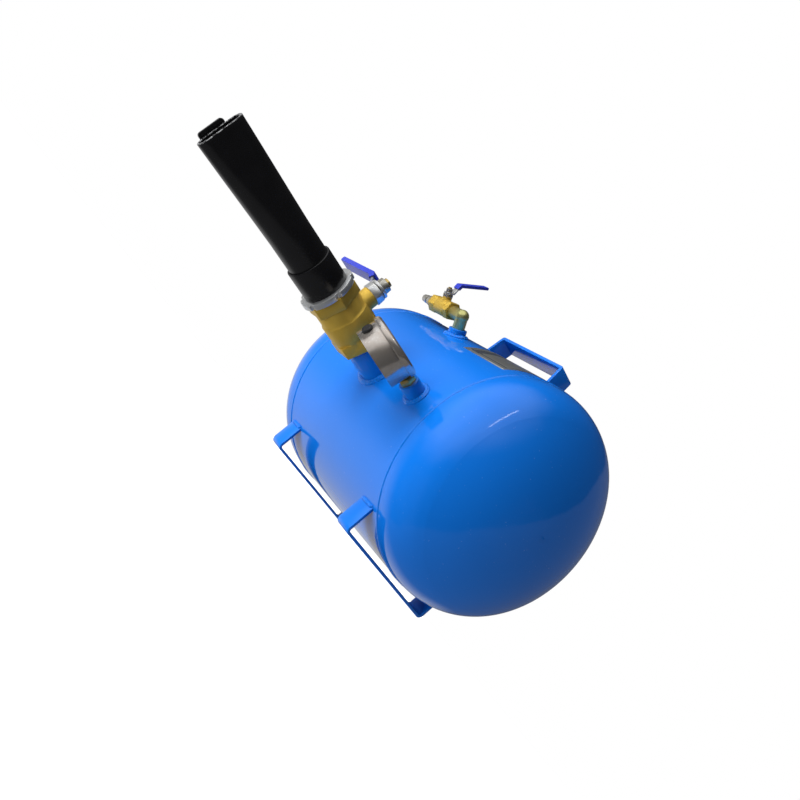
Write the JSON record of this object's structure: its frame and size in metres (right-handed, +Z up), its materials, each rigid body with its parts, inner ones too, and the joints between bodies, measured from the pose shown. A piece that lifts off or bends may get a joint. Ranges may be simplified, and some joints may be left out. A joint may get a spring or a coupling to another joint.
{
  "type": "portable air receiver tank",
  "caption": "Welded blue air tank on two feet with carry handle, pressure gauge, lever fill valve with quick-connect plug, and lever outlet valve feeding a flattened black barrel.",
  "frame": {"origin": "on the floor under the middle of the tank axis, where the tank stands on its two feet", "axes": "+Z up from the feet to the handle, +Y along the tank axis towards the head away from the gauge, -X along the outlet and its barrel"},
  "size_m": [0.5449, 0.429, 0.3085],
  "materials": {
    "blue_paint": "high gloss enamel",
    "black_paint": "satin enamel",
    "label_foil": "printed foil, blank",
    "cast_brass": "forged and tumbled",
    "turned_brass": "turned",
    "yellow_zinc": "yellow passivated",
    "plated_ball": "polished",
    "seat_plastic": "matt",
    "zinc_plate": "zinc plated",
    "nickel_plate": "nickel plated",
    "blue_vinyl": "dipped vinyl",
    "stainless": "polished stainless",
    "clear_lens": "clear",
    "white_dial": "white enamel with printed scale",
    "pointer_black": "black enamel",
    "black_rubber": "matt"
  },
  "bodies": {
    "tank": {"shell": "blue_paint", "front_head": "blue_paint", "rear_head": "blue_paint", "seam_welds": "blue_paint", "front_foot": "blue_paint", "rear_foot": "blue_paint", "handle": "blue_paint", "bracket_welds": "blue_paint", "outlet_stub": "blue_paint", "gauge_bushing": "blue_paint", "fill_bushing": "blue_paint", "port_welds": "blue_paint", "nameplate": "label_foil", "outlet_valve_body": "cast_brass", "outlet_valve_cap": "cast_brass", "outlet_seats": "seat_plastic", "outlet_packing": "seat_plastic", "outlet_gland_nut": "zinc_plate", "lock_ring": "zinc_plate", "barrel_sleeve": "black_paint", "barrel": "black_paint", "rim_tab": "black_paint", "gauge_case": "stainless", "gauge_bezel": "stainless", "gauge_lens": "clear_lens", "gauge_dial": "white_dial", "gauge_frame": "turned_brass", "gauge_tube": "turned_brass", "gauge_socket": "turned_brass", "gauge_plug": "black_rubber", "fill_elbow": "yellow_zinc", "fill_valve_body": "cast_brass", "fill_valve_cap": "cast_brass", "fill_seats": "seat_plastic", "fill_packing": "seat_plastic", "fill_gland_nut": "nickel_plate", "fill_plug": "nickel_plate"},
    "outlet_handle": {"outlet_ball": "plated_ball", "outlet_stem": "turned_brass", "outlet_lever": "zinc_plate", "outlet_lever_grip": "blue_vinyl", "outlet_lever_nut": "zinc_plate"},
    "fill_handle": {"fill_ball": "plated_ball", "fill_stem": "turned_brass", "fill_lever": "zinc_plate", "fill_lever_grip": "blue_vinyl", "fill_lever_nut": "nickel_plate"},
    "pointer": {"gauge_pointer": "pointer_black"},
    "sector": {"gauge_sector": "turned_brass"}
  },
  "joints": [
    {"name": "outlet_valve_turn", "type": "hinge", "parent": "tank", "child": "outlet_handle", "pos_m": [-0.197, 0, 0.136], "axis": [0, 0, 1], "range_deg": [0, 90]},
    {"name": "fill_valve_turn", "type": "hinge", "parent": "tank", "child": "fill_handle", "pos_m": [-0.0961, 0.0635, 0.25052], "axis": [-0.6428, 0, 0.766], "range_deg": [0, 90]},
    {"name": "gauge_sector_turn", "type": "hinge", "parent": "tank", "child": "sector", "pos_m": [-0.1724, -0.0854, 0.136], "axis": [0, -0.1994, 0.9799], "range_deg": [0, 62], "stiffness_Nm_per_rad": 0.004},
    {"name": "gauge_pointer_turn", "type": "hinge", "parent": "tank", "child": "pointer", "pos_m": [-0.1834, -0.0854, 0.136], "axis": [0, -0.1994, 0.9799], "range_deg": [-270, 0]}
  ],
  "couplings": [
    {"joint": "gauge_pointer_turn", "follows": "gauge_sector_turn", "ratio": -4.35}
  ]
}
